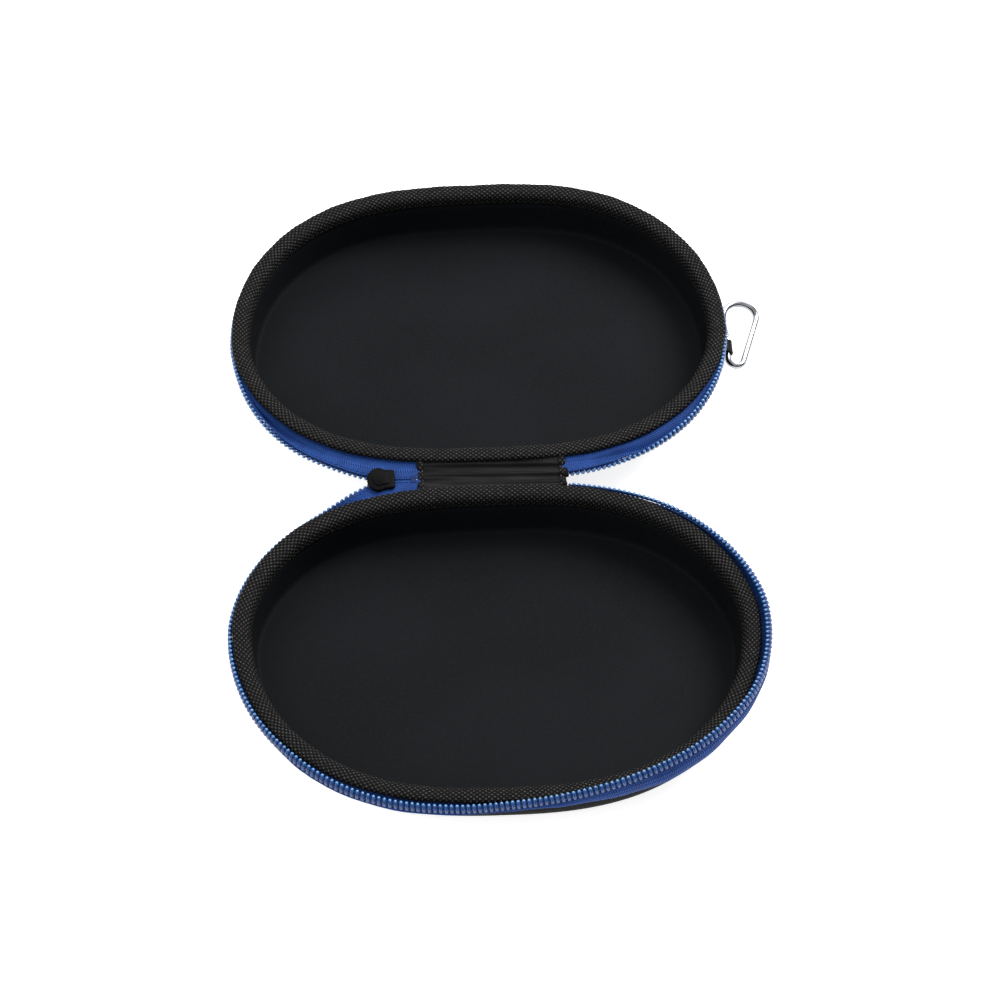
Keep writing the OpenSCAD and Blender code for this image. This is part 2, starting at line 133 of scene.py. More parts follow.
# ------------------------------------------------------------------ shader helpers
class Nodes:
    """A few words for building a material's node tree."""

    def __init__(self, name, base=(0.5, 0.5, 0.5), rough=0.5, **sockets):
        self.material = bpy.data.materials.new(name)
        self.material.use_nodes = True
        self.tree = self.material.node_tree
        self.shader = self.tree.nodes["Principled BSDF"]
        self.shader.inputs["Base Color"].default_value = (*base, 1)
        self.shader.inputs["Roughness"].default_value = rough
        for socket, value in sockets.items():
            self.shader.inputs[socket.replace("_", " ")].default_value = value

    def put(self, socket, value):
        if isinstance(value, (int, float, tuple)):
            socket.default_value = value
        else:
            self.tree.links.new(value, socket)

    def math(self, operation, a, b=0.0, c=0.0):
        node = self.tree.nodes.new("ShaderNodeMath")
        node.operation = operation
        for socket, value in zip(node.inputs, (a, b, c)):
            self.put(socket, value)
        return node.outputs[0]

    def step(self, value, low, high, out_low=0.0, out_high=1.0):
        node = self.tree.nodes.new("ShaderNodeMapRange")
        node.interpolation_type = "SMOOTHSTEP"
        for key, v in zip(("Value", "From Min", "From Max", "To Min", "To Max"),
                          (value, low, high, out_low, out_high)):
            self.put(node.inputs[key], v)
        return node.outputs[0]

    def mix(self, share, a, b):
        node = self.tree.nodes.new("ShaderNodeMix")
        node.data_type = "RGBA"
        self.put(node.inputs[0], share)
        self.put(node.inputs[6], (*a, 1) if isinstance(a, tuple) else a)
        self.put(node.inputs[7], (*b, 1) if isinstance(b, tuple) else b)
        return node.outputs[2]

    def object_place(self):
        return self.tree.nodes.new("ShaderNodeTexCoord").outputs["Object"]

    def noise(self, scale, detail=2.0):
        node = self.tree.nodes.new("ShaderNodeTexNoise")
        node.inputs["Scale"].default_value = scale
        node.inputs["Detail"].default_value = detail
        self.put(node.inputs["Vector"], self.object_place())
        return node.outputs["Fac"]

    def cells(self, scale):
        node = self.tree.nodes.new("ShaderNodeTexVoronoi")
        node.inputs["Scale"].default_value = scale
        self.put(node.inputs["Vector"], self.object_place())
        return node.outputs["Distance"]

    def cloth_axes(self):
        """The distances along and across a woven piece, in millimetres."""
        attribute = self.tree.nodes.new("ShaderNodeAttribute")
        attribute.attribute_name = "cloth"
        split = self.tree.nodes.new("ShaderNodeSeparateXYZ")
        self.tree.links.new(attribute.outputs["Vector"], split.inputs[0])
        return split.outputs[0], split.outputs[1]

    def wave(self, value, period):
        return self.math("SINE", self.math("MULTIPLY", value, 2 * math.pi / period))

    def bump(self, height, distance, strength=1.0):
        node = self.tree.nodes.new("ShaderNodeBump")
        node.inputs["Distance"].default_value = distance
        node.inputs["Strength"].default_value = strength
        self.tree.links.new(height, node.inputs["Height"])
        self.tree.links.new(node.outputs["Normal"], self.shader.inputs["Normal"])

    def colour(self, value):
        self.tree.links.new(value, self.shader.inputs["Base Color"])

    def roughness(self, value):
        self.tree.links.new(value, self.shader.inputs["Roughness"])


def floor_material():
    """Pale floor, glowing a little so that shadows on it stay faint."""
    m = Nodes("studio_floor", (0.93, 0.93, 0.93), 0.8)
    m.colour(m.mix(m.noise(6.0), (0.925, 0.925, 0.925), (0.94, 0.94, 0.94)))
    m.shader.inputs["Emission Color"].default_value = (1, 1, 1, 1)
    m.shader.inputs["Emission Strength"].default_value = 0.8
    return m.material


def plain_weave(m, along, across, pitch):
    """Height of a plain weave: two sets of rounded threads passing over and under."""
    a = m.wave(along, 2 * pitch)
    b = m.wave(across, 2 * pitch)
    over = m.step(m.math("MULTIPLY", a, b), -0.1, 0.1)
    warp = m.math("ABSOLUTE", a)
    weft = m.math("ABSOLUTE", b)
    return m.math("ADD", m.math("MULTIPLY", warp, over),
                  m.math("MULTIPLY", weft, m.math("SUBTRACT", 1.0, over)))


def skin_material():
    """Outer skin: tight black ballistic weave."""
    m = Nodes("black_woven_skin", (0.02, 0.02, 0.022), 0.68, Specular_IOR_Level=0.04)
    along, across = m.cloth_axes()
    weave = plain_weave(m, along, across, 0.75)
    shade = m.math("MULTIPLY", weave, m.step(m.noise(70.0), 0.3, 0.7, 0.75, 1.0))
    m.colour(m.mix(shade, (0.0025, 0.0025, 0.0028), (0.0130, 0.0125, 0.0125)))
    m.roughness(m.step(weave, 0.2, 1.0, 0.75, 0.5))
    m.bump(weave, 0.00012, 0.7)
    return m.material


def lining_material():
    """Lining: smooth charcoal knit with a fine grain and a few flecks of lint."""
    m = Nodes("charcoal_knit_lining", (0.012, 0.013, 0.016), 0.7, Specular_IOR_Level=0.06)
    fine = m.noise(2600.0, 1.0)
    cloud = m.noise(14.0, 2.0)
    base = m.mix(m.step(cloud, 0.35, 0.65), (0.0038, 0.0047, 0.0058), (0.0056, 0.0066, 0.0080))
    grain = m.mix(m.step(fine, 0.4, 0.7, 0.0, 0.6), base, (0.0135, 0.0150, 0.0170))
    lint = m.step(m.cells(210.0), 0.0, 0.06, 0.5, 0.0)
    m.colour(m.mix(lint, grain, (0.05, 0.052, 0.056)))
    m.roughness(m.step(fine, 0.3, 0.7, 0.62, 0.78))
    m.bump(fine, 0.00004, 0.5)
    return m.material


KNOT_ALONG, KNOT_ACROSS = 2.2, 1.8


def binding_material():
    """Rim binding: coarse black twill with light flecks on the crossings."""
    m = Nodes("black_fleck_binding", (0.02, 0.02, 0.02), 0.7, Specular_IOR_Level=0.1)
    along, across = m.cloth_axes()
    knot = m.math("MULTIPLY", m.wave(along, KNOT_ALONG), m.wave(across, KNOT_ACROSS))
    uneven = m.step(m.noise(1300.0, 1.0), 0.36, 0.6, 0.25, 1.0)
    fleck = m.math("MULTIPLY", m.step(knot, 0.35, 0.85), uneven)
    m.colour(m.mix(fleck, (0.0045, 0.0045, 0.0048), (0.078, 0.072, 0.067)))
    m.roughness(m.step(knot, -0.5, 0.8, 0.8, 0.5))
    m.bump(knot, 0.00018, 0.8)
    return m.material


def hinge_cloth_material():
    """Hinge cloth: fine black weave with a satin sheen."""
    m = Nodes("black_satin_hinge_cloth", (0.012, 0.012, 0.013), 0.42, Specular_IOR_Level=0.12)
    along, across = m.cloth_axes()
    weave = plain_weave(m, along, across, 0.35)
    m.colour(m.mix(weave, (0.002, 0.002, 0.0023), (0.0065, 0.0065, 0.0072)))
    m.bump(weave, 0.00005, 0.5)
    return m.material


def tape_material():
    """Zipper tape: blue herringbone, its slope reversing every few ribs."""
    m = Nodes("blue_herringbone_tape", (0.02, 0.07, 0.3), 0.6, Specular_IOR_Level=0.12)
    along, across = m.cloth_axes()
    zigzag = m.math("PINGPONG", across, 1.5)
    rib = m.wave(m.math("ADD", along, m.math("MULTIPLY", zigzag, 1.2)), 0.9)
    rows = m.wave(across, 0.55)
    height = m.math("ADD", m.math("MULTIPLY", rib, 0.7), m.math("MULTIPLY", rows, 0.3))
    tone = m.math("MULTIPLY", m.step(height, -0.8, 0.9), m.step(m.noise(160.0), 0.25, 0.7, 0.6, 1.0))
    m.colour(m.mix(tone, (0.005, 0.021, 0.10), (0.024, 0.088, 0.36)))
    m.roughness(m.step(height, -0.8, 0.9, 0.75, 0.5))
    m.bump(height, 0.00010, 0.7)
    return m.material


def coil_material():
    """Coil: blue nylon, with a painted highlight in light blue on the heads and painted shade in deep
    navy on the legs behind them.
    """
    m = Nodes("blue_nylon_coil_painted_light", (0.03, 0.16, 0.48), 0.28, Specular_IOR_Level=0.55, Coat_Weight=0.2,
              Coat_Roughness=0.2)
    # The tone attribute carries painted light: high on the heads and front legs, low on the back legs.
    tone = m.tree.nodes.new("ShaderNodeAttribute")
    tone.attribute_name = "tone"
    streak = m.noise(900.0, 1.0)
    nylon = m.mix(m.step(streak, 0.3, 0.7), (0.009, 0.052, 0.21), (0.019, 0.088, 0.30))
    # Painted shade: the back legs darken to deep navy.
    painted_shade_leg = m.mix(m.step(tone.outputs["Fac"], 0.0, 0.45), (0.005, 0.024, 0.11), nylon)
    # Painted highlight: the heads lighten to light blue.
    m.colour(m.mix(m.step(tone.outputs["Fac"], 0.62, 0.84), painted_shade_leg, (0.16, 0.40, 0.74)))
    m.roughness(m.step(streak, 0.3, 0.7, 0.26, 0.36))
    return m.material


def thread_material(name, dark, light):
    """Sewing thread or cord, its twist as a fine change of tone."""
    m = Nodes(name, dark, 0.55, Specular_IOR_Level=0.12)
    twist = m.noise(2200.0, 1.0)
    m.colour(m.mix(m.step(twist, 0.35, 0.65), dark, light))
    m.bump(twist, 0.00004, 0.5)
    return m.material


def webbing_material():
    """Narrow black webbing, ribbed across."""
    m = Nodes("black_ribbed_webbing", (0.015, 0.015, 0.016), 0.65, Specular_IOR_Level=0.12)
    along, across = m.cloth_axes()
    ribs = m.wave(along, 0.7)
    rows = m.wave(across, 1.0)
    height = m.math("ADD", ribs, m.math("MULTIPLY", rows, 0.5))
    m.colour(m.mix(m.step(height, -1.0, 1.2), (0.006, 0.006, 0.007), (0.03, 0.03, 0.031)))
    m.bump(height, 0.00012, 0.8)
    return m.material


def enamel_material():
    """Matte black enamel of the slider, a little mottled."""
    m = Nodes("matte_black_enamel", (0.003, 0.003, 0.0035), 0.5, Specular_IOR_Level=0.06)
    grain = m.noise(1500.0, 2.0)
    m.colour(m.mix(m.step(grain, 0.45, 0.7), (0.0015, 0.0015, 0.0018), (0.0035, 0.0035, 0.004)))
    m.roughness(m.step(grain, 0.3, 0.7, 0.42, 0.58))
    m.bump(grain, 0.00003, 0.4)
    return m.material


def chrome_material():
    """The hook's chrome, a little cloudy, its colour painted dark to stand in for darker surroundings in
    its reflections.
    """
    m = Nodes("polished_chrome", (0.86, 0.87, 0.89), 0.08, Metallic=1.0)
    film = m.noise(260.0, 3.0)
    # Painted shade: a dark base colour dims the white studio seen in the chrome.
    m.colour(m.mix(m.step(film, 0.3, 0.7), (0.30, 0.31, 0.33), (0.40, 0.41, 0.42)))
    m.roughness(m.step(film, 0.35, 0.7, 0.05, 0.13))
    return m.material


def wire_material():
    """The gate spring's wire."""
    m = Nodes("drawn_spring_wire", (0.55, 0.55, 0.57), 0.3, Metallic=1.0)
    m.roughness(m.step(m.noise(1800.0), 0.3, 0.7, 0.25, 0.4))
    return m.material


def foam_material():
    """The shell's foam, with small closed pores."""
    m = Nodes("closed_cell_foam", (0.03, 0.03, 0.032), 0.85)
    pores = m.cells(1400.0)
    m.colour(m.mix(m.step(pores, 0.1, 0.6), (0.018, 0.018, 0.019), (0.042, 0.042, 0.045)))
    m.bump(pores, 0.00008, 0.6)
    return m.material


# ------------------------------------------------------------------ the outline
def outline(angle):
    """Points of the rim binding's outer edge, for angles in degrees; 90 is the hinge side."""
    a = np.radians(angle)
    c, s = np.cos(a), np.sin(a)
    back = s > 0
    n = np.where(back, BACK_N, FRONT_N)
    m = np.where(back, BACK_M, FRONT_M)
    depth = np.where(back, BACK_DEPTH, FRONT_DEPTH)
    x = HALF_W * np.sign(c) * np.abs(c) ** (2 / n)
    y = WIDEST_Y + depth * np.sign(s) * np.abs(s) ** (2 / m)
    return np.stack([x, y], -1)


def bell(side, spread):
    """Weights of a smoothing window that reaches side steps each way."""
    weights = np.exp(-0.5 * (np.arange(-side, side + 1) / spread) ** 2)
    return weights / weights.sum()


FINE = np.linspace(0, FULL_TURN, 14401)
FINE_POINTS = outline(FINE)
FINE_LENGTH = np.concatenate([[0], np.cumsum(np.linalg.norm(np.diff(FINE_POINTS, axis=0), axis=1))])
PERIMETER = FINE_LENGTH[-1]


def smooth_normals():
    """Outward unit normals at even steps along the outline, eased over a few millimetres."""
    steps = 2880
    length = np.arange(steps) * PERIMETER / steps
    points = np.stack([np.interp(length, FINE_LENGTH, FINE_POINTS[:, i]) for i in (0, 1)], -1)
    tangent = np.roll(points, -1, 0) - np.roll(points, 1, 0)
    side = 40
    padded = np.concatenate([tangent[-side:], tangent, tangent[:side]])
    tangent = np.stack([np.convolve(padded[:, i], bell(side, 14.0), "valid") for i in (0, 1)], -1)
    tangent /= np.linalg.norm(tangent, axis=1)[:, None]
    normal = np.stack([tangent[:, 1], -tangent[:, 0]], -1)
    closed_points, closed_normal = np.vstack([points, points[:1]]), np.vstack([normal, normal[:1]])
    return np.append(length, PERIMETER), closed_points, closed_normal


EVEN_LENGTH, EVEN_POINTS, EVEN_NORMALS = smooth_normals()


def rim(length):
    """Point and outward normal of the outline at each distance along it."""
    wrapped = np.mod(length, PERIMETER)
    point = np.stack([np.interp(wrapped, EVEN_LENGTH, EVEN_POINTS[:, i]) for i in (0, 1)], -1)
    normal = np.stack([np.interp(wrapped, EVEN_LENGTH, EVEN_NORMALS[:, i]) for i in (0, 1)], -1)
    return point, normal / np.linalg.norm(normal, axis=1)[:, None]


def length_at(angle):
    """Distance along the outline at an angle; angles past a full turn carry on."""
    turns = np.floor(np.asarray(angle, float) / FULL_TURN)
    return turns * PERIMETER + np.interp(np.mod(angle, FULL_TURN), FINE, FINE_LENGTH)


def hinge_side_angle(x):
    """Angle of the point on the hinge side with this x."""
    c = (abs(x) / HALF_W) ** (BACK_N / 2) * (1 if x > 0 else -1)
    return math.degrees(math.acos(c))


# How far each sewn rim wanders outward of the pattern, by angle round it.
DRIFT = {
    "base": [(90, 0), (115, 0), (125, 0.3), (145, 0.7), (165, 1.0), (185, 0.6), (205, 0.7), (225, 1.0),
             (235, 1.7), (248, 2.4), (265, 1.9), (280, 2.2), (295, 2.2), (305, 1.8), (315, 1.2),
             (335, 0.5), (355, 0.2), (365, -0.9), (385, -1.6), (395, -2.0), (415, -1.9), (425, -1.4),
             (435, -0.8), (442, 0), (450, 0)],
    "lid": [(90, 0.2), (115, 0.2), (155, 0.3), (175, 0), (205, 0), (225, 0.5), (240, 0.9), (255, 0.4),
            (266, -0.3), (276, 0.2), (286, 1.0), (295, 1.5), (305, 1.0), (325, -0.5), (345, -1.2),
            (360, -1.6), (375, -1.2), (395, -1.2), (405, -1.2), (415, -0.9), (425, -0.4), (435, 0.2),
            (450, 0.2)],
}


def drift(half, length):
    """The wander of a half's rim at each distance along the outline, eased."""
    table = np.array(DRIFT[half], float)
    keys = length_at(table[:, 0])
    fine = np.arange(keys[0], keys[-1], 1.0)
    even = np.interp(fine, keys, table[:, 1])
    side = 36
    eased = np.convolve(np.concatenate([even[-side:], even, even[:side]]), bell(side, 12.0), "valid")
    wrapped = keys[0] + np.mod(np.asarray(length) - keys[0], PERIMETER)
    return np.interp(wrapped, fine, eased)


def placed(half, length, out, height):
    """3-D points from distances along the outline, outward of it, and above the rim."""
    point, normal = rim(length)
    xy = point + normal * (np.asarray(out) + drift(half, length))[..., None]
    z = np.broadcast_to(RIM_Z + np.asarray(height, float), xy.shape[:-1])
    return on_half(half, np.concatenate([xy, z[..., None]], -1))


def on_half(half, points):
    """The lid is the base mirrored about the hinge line."""
    if half == "lid":
        points = points.copy()
        points[..., 1] = 2 * HINGE_Y - points[..., 1]
    return points


# ------------------------------------------------------------------ mesh helpers
def new_object(name, mesh):
    piece = bpy.data.objects.new(name, mesh)
    bpy.context.scene.collection.objects.link(piece)
    return piece


def tidy(mesh):
    """Faces point outward and shade smooth, apart from sharp edges."""
    work = bmesh.new()
    work.from_mesh(mesh)
    bmesh.ops.recalc_face_normals(work, faces=work.faces)
    work.to_mesh(mesh)
    work.free()
    mesh.polygons.foreach_set("use_smooth", [True] * len(mesh.polygons))
    mesh.set_sharp_from_angle(angle=math.radians(50))


def grid_piece(name, points, material, close_rows=False, close_cols=False, caps=False,
               along=None, across=None):
    """A mesh of quads through points[row, column] in millimetres. The attribute "cloth" holds
    the distances along the columns and across the rows, so a weave follows the piece."""
    rows, cols = points.shape[:2]
    r = np.arange(rows if close_rows else rows - 1)
    c = np.arange(cols if close_cols else cols - 1)
    rr, cc = np.meshgrid(r, c, indexing="ij")
    r1, c1 = (rr + 1) % rows, (cc + 1) % cols
    quads = np.stack([rr * cols + cc, rr * cols + c1, r1 * cols + c1, r1 * cols + cc], -1)
    faces = quads.reshape(-1, 4).tolist()
    if caps:
        if close_rows:
            faces += [[k * cols for k in range(rows)][::-1],
                      [k * cols + cols - 1 for k in range(rows)]]
        if close_cols:
            faces += [list(range(cols)), [(rows - 1) * cols + k for k in range(cols)][::-1]]
    mesh = bpy.data.meshes.new(name)
    mesh.from_pydata((points.reshape(-1, 3) * MM).tolist(), [], faces)
    if along is None:
        along = np.arange(cols + 1, dtype=float)
    if across is None:
        step = np.linalg.norm(np.diff(points[:, cols // 2], axis=0), axis=1)
        across = np.concatenate([[0], np.cumsum(step)])
    if len(across) < rows + 1:
        across = np.append(across, across[-1] + (across[-1] - across[-2]))
    if len(along) < cols + 1:
        along = np.append(along, along[-1] + (along[-1] - along[-2]))
    u = np.stack([along[cc], along[cc + 1], along[cc + 1], along[cc]], -1)
    v = np.stack([across[rr], across[rr], across[rr + 1], across[rr + 1]], -1)
    uv = np.stack([u, v, np.zeros_like(u)], -1).reshape(-1, 3)
    full = np.zeros((len(mesh.loops), 3), np.float32)
    full[:len(uv)] = uv
    attribute = mesh.attributes.new("cloth", "FLOAT_VECTOR", "CORNER")
    attribute.data.foreach_set("vector", full.ravel())
    tidy(mesh)
    mesh.materials.append(material)
    return new_object(name, mesh)


def belongs(piece, body, node):
    """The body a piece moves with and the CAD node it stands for."""
    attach(piece, body)
    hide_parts(node)


def spline(points, per_span=6):
    """A smooth curve through given points (Catmull-Rom)."""
    p = np.asarray(points, float)
    p = np.vstack([2 * p[0] - p[1], p, 2 * p[-1] - p[-2]])
    t = np.linspace(0, 1, per_span, endpoint=False)[:, None]
    out = []
    for a, b, c, d in zip(p, p[1:], p[2:], p[3:]):
        out.append(0.5 * (2 * b + (c - a) * t + (2 * a - 5 * b + 4 * c - d) * t ** 2
                          + (3 * b - a - 3 * c + d) * t ** 3))
    return np.vstack(out + [p[-2][None]])


def tubes_mesh(paths, radii, sides):
    """Vertices and faces of round tubes along paths, each [points, 3], in millimetres."""
    verts, faces, start = [], [], 0
    ring = np.linspace(0, 2 * math.pi, sides, endpoint=False)
    for path, radius in zip(paths, radii):
        path = np.asarray(path, float)
        tangent = np.gradient(path, axis=0)
        tangent /= np.linalg.norm(tangent, axis=1)[:, None]
        side = np.cross(tangent[0], (0, 0, 1.0))
        if np.linalg.norm(side) < 0.1:
            side = np.cross(tangent[0], (1.0, 0, 0))
        sides_list = []
        for t in tangent:
            side = side - t * (side @ t)
            side = side / np.linalg.norm(side)
            sides_list.append(side)
        s = np.array(sides_list)
        u = np.cross(tangent, s)
        radius = np.broadcast_to(radius, len(path))[:, None, None]
        loop = (np.cos(ring)[None, :, None] * s[:, None] + np.sin(ring)[None, :, None] * u[:, None])
        verts.append((path[:, None] + radius * loop).reshape(-1, 3))
        n = len(path)
        i, k = np.meshgrid(np.arange(n - 1), np.arange(sides), indexing="ij")
        k1 = (k + 1) % sides
        quads = np.stack([i * sides + k, i * sides + k1, (i + 1) * sides + k1, (i + 1) * sides + k], -1)
        faces += (quads.reshape(-1, 4) + start).tolist()
        faces += [[start + q for q in range(sides)][::-1],
                  [start + (n - 1) * sides + q for q in range(sides)]]
        start += n * sides
    return np.vstack(verts), faces


def tube_piece(name, paths, radii, sides, material, tone=None):
    """Round tubes; tone is a number for each point of one path, which its material may read, as the coil
    does for its painted light.
    """
    verts, faces = tubes_mesh(paths, radii, sides)
    mesh = bpy.data.meshes.new(name)
    mesh.from_pydata((verts * MM).tolist(), [], faces)
    if tone is not None:
        attribute = mesh.attributes.new("tone", "FLOAT", "POINT")
        attribute.data.foreach_set("value", np.repeat(tone, sides).astype(np.float32))
    tidy(mesh)
    mesh.materials.append(material)
    return new_object(name, mesh)


def solid_piece(name, outline_xy, low, high, material, bevel=0.3, place=None, segments=3):
    """A plate: an outline in millimetres pushed from low to high, its edges rounded."""
    work = bmesh.new()
    bottom = [work.verts.new((x * MM, y * MM, low * MM)) for x, y in outline_xy]
    face = work.faces.new(bottom)
    grown = bmesh.ops.extrude_face_region(work, geom=[face])
    for v in grown["geom"]:
        if isinstance(v, bmesh.types.BMVert):
            v.co.z = high * MM
    bmesh.ops.recalc_face_normals(work, faces=work.faces)
    sharp = [e for e in work.edges if e.calc_face_angle(0) > math.radians(25)]
    bmesh.ops.bevel(work, geom=sharp, offset=bevel * MM, segments=segments, profile=0.5,
                    affect="EDGES")
    mesh = bpy.data.meshes.new(name)
    work.to_mesh(mesh)
    work.free()
    if place is not None:
        mesh.transform(place)
    tidy(mesh)
    mesh.materials.append(material)
    return new_object(name, mesh)


# ------------------------------------------------------------------ layers of each half
OUTSIDE_FACE = [(20, 25), (12, 23.8), (7.0, 20.8), (3.9, 17), (2.3, 13.5), (1.7, 10),
                (1.6, 7), (1.6, 4), (1.5, 1.1)]
INSIDE_FACE = [(6, 1.1), (6, 5.2), (6.9, 7.5), (7.5, 12), (8.1, 17.0), (8.45, 18.6),
               (9.3, 19.7), (11.0, 20.0), (24, 20.1)]
SKIN_T, LINING_T = 0.7, 0.5
LAP = np.arange(640) * PERIMETER / 640
LAP_CLOSED = np.append(LAP, PERIMETER)


def offset_profile(profile, distance):
    """The profile moved sideways by a distance, to the left of its direction."""
    d = np.gradient(profile, axis=0)
    d /= np.linalg.norm(d, axis=1)[:, None]
    return profile + distance * np.stack([-d[:, 1], d[:, 0]], -1)


def dish_piece(name, profile, material, half):
    """A closed dish lofted round the outline; profile rows are (inset, depth below the rim)."""
    points = np.array([placed(half, LAP, np.full(len(LAP), -p[0]), -p[1]) for p in profile])
    step = np.linalg.norm(np.diff(profile, axis=0), axis=1)
    across = np.concatenate([[0], np.cumsum(step)])
    return grid_piece(name, points, material, close_cols=True, caps=True,
                      along=LAP_CLOSED, across=across)


def make_shells(half, mats):
    outside = spline(OUTSIDE_FACE, 5)
    inner_side = offset_profile(outside, SKIN_T)
    skin = dish_piece(f"{half}_woven_skin", np.vstack([outside, inner_side[::-1]]),
                      mats["skin"], half)
    inside = spline(INSIDE_FACE, 5)
    behind = offset_profile(inside, LINING_T)
    lining = dish_piece(f"{half}_knit_lining", np.vstack([behind[::-1], inside]),
                        mats["lining"], half)
    foam_out = offset_profile(outside, SKIN_T + 0.08)
    foam_in = offset_profile(inside, LINING_T + 0.08)
    foam = dish_piece(f"{half}_moulded_foam", np.vstack([foam_out, foam_in]), mats["foam"], half)
    for piece, node, slot in ((skin, "outer_fabric", "shell_fabric"),
                              (lining, "lining", "lining_fabric"),
                              (foam, "eva_shell", "eva_foam")):
        belongs(piece, half, f"{half}_{node}")


BINDING_OUTER = [(1.0, 2.1), (0.1, 1.7), (0.0, 0.9), (0.45, 0.15), (1.6, -0.15), (3.5, -0.1),
                 (5.3, 0.35), (6.5, 1.4), (7.0, 3.0), (6.95, 4.6), (6.55, 5.1)]
BINDING_T = 0.75


def make_binding(half, mats):
    """The twill tape folded over the rim, with its woven relief as real geometry."""
    outer = spline(BINDING_OUTER, 4)
    inner = offset_profile(outer, BINDING_T)
    cols = 1800
    lap = np.arange(cols) * PERIMETER / cols
    step = np.linalg.norm(np.diff(outer, axis=0), axis=1)
    across = np.concatenate([[0], np.cumsum(step)])
    normal = offset_profile(outer, -1.0) - outer
    rows = []
    for p, n, v in zip(outer, normal, across):
        knot = np.sin(2 * math.pi * lap / KNOT_ALONG) * math.sin(2 * math.pi * v / KNOT_ACROSS)
        slow = 0.08 * np.sin(lap / 3.7 + 1.3) + 0.05 * np.sin(lap / 1.45)
        lift = 0.10 * knot + slow
        rows.append(placed(half, lap, -(p[0] + n[0] * lift), -(p[1] + n[1] * lift)))
    for p in inner[::-3]:
        rows.append(placed(half, lap, np.full(cols, -p[0]), -p[1]))
    points = np.array(rows)
    back = np.linspace(across[-1], across[-1] + 8, len(points) - len(outer))
    piece = grid_piece(f"{half}_twill_binding", points, mats["binding"],
                       close_rows=True, close_cols=True,
                       along=np.append(lap, PERIMETER), across=np.concatenate([across, back]))
    belongs(piece, half, f"{half}_rim_binding")
    stitch_row(half, mats)


def stitch_row(half, mats):
    """Thread stitches close to the binding's inner edge."""
    pitch, reach = 2.6, 1.7
    count = int(PERIMETER / pitch)
    paths = []
    for i in range(count):
        start = i * PERIMETER / count
        length = start + np.array([0, 0.3, 0.5, 0.7, 1.0]) * reach
        height = np.array([-3.9, -3.75, -3.72, -3.75, -3.9])
        out = -np.array([6.9, 7.12, 7.16, 7.12, 6.9])
        paths.append(placed(half, length, out, height))
    piece = tube_piece(f"{half}_binding_stitches", paths, [0.16] * count, 6, mats["black_thread"])
    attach(piece, half)


# ------------------------------------------------------------------ zipper
CHAIN_Y = HINGE_Y - 1.0
CHAIN_Z = -2.3
CHAIN_SPLIT = 0.35
PANEL_LEFT, PANEL_RIGHT = -28.1, 30.0
ZIP_LEFT, ZIP_RIGHT = PANEL_LEFT + 1.6, PANEL_RIGHT - 1.8
# x along the closed chain and how far each tape stands off the middle there
CHAIN_PARTING = [(ZIP_LEFT, 0.0), (-34.0, 0.0), (-38.8, 0.0), (-40.6, 1.9), (-47.0, 2.2)]
SLIDER_LEFT, SLIDER_RIGHT = -47.8, -36.9
# Where the tape's top edge is, round each half. Each row: angle round the outline, distance
# outward of the binding, height above the rim, lean of the coil inward from upright, and the
# direction in which the tape leaves its seam (both in degrees; minus is outward).
TAPE_LAY = {
    "base": [
        (117, 1.0, -2.4, -30, -90),
        (125, -0.6, -3.2, 0, -170),
        (150, -0.6, -2.9, 0, -175),
        (172, -0.5, -2.8, 0, -175),
        (187, 0.1, -2.0, 4, -120),
        (205, 0.4, -1.4, 12, -100),
        (215, 0.6, -1.1, 22, -95),
        (225, 0.8, -1.1, 34, -100),
        (235, 1.6, -1.5, 35, -120),
        (250, 1.7, -2.0, 35, -150),
        (265, 1.6, -1.5, 35, -150),
        (275, 1.1, 2.0, 35, -125),
        (285, 0.8, 5.2, 35, -115),
        (295, 0.7, 7.2, 35, -112),
        (305, 0.8, 7.5, 35, -110),
        (315, 1.0, 7.3, 35, -110),
        (325, 1.35, 6.4, 34, -110),
        (335, 1.9, 5.2, 32, -110),
        (345, 1.8, 3.0, 40, -110),
        (355, 1.6, 2.2, 45, -110),
        (366, 1.5, 1.4, 48, -110),
        (376, 1.4, 0.8, 48, -110),
        (386, 1.2, 0.4, 46, -110),
        (396, 1.0, 0.0, 44, -110),
        (406, 0.9, -0.4, 42, -110),
        (416, 0.7, -0.8, 35, -110),
        (426, 0.4, -1.4, 20, -105),
        (437, 0.2, -2.0, 0, -95),
        (442, 0.2, -2.0, -5, -90),
    ],
    "lid": [
        (116, 7.2, -2.0, -86, -88),
        (125, 6.6, -2.0, -66, -88),
        (135, 5.0, -2.0, -40, -88),
        (145, 2.9, -2.0, -18, -90),
        (155, 0.9, -2.2, -5, -110),
        (165, -0.7, -2.7, -5, -165),
        (176, -1.3, -3.2, 0, -178),
        (270, -1.3, -3.6, 0, -178),
        (371, -1.3, -3.2, 0, -178),
        (377, -0.6, -2.4, 0, -150),
        (386, 0.6, -1.6, 5, -110),
        (395, 2.0, -1.2, 18, -100),
        (405, 3.7, -1.2, 14, -92),
        (415, 4.9, -1.4, 4, -90),
        (425, 6.0, -1.7, -28, -88),
        (435, 7.0, -2.0, -76, -88),
        (442, 7.3, -2.1, -90, -88),
    ],
}
COIL_PITCH = 2.0
COIL_W = 3.6
WIRE_R = 0.58
COIL_SWING = 0.30
HEAD_PROUD = 1.45
STRAIGHT = 2.6
SEAM_OUT, SEAM_Z = 0.35, -2.35
TAPE_HEM = [(-4.4, -0.95), (-2.6, -0.95), (-1.0, -1.05), (-0.85, -2.2), (-0.2, -2.45)]
TAPE_T = 0.36


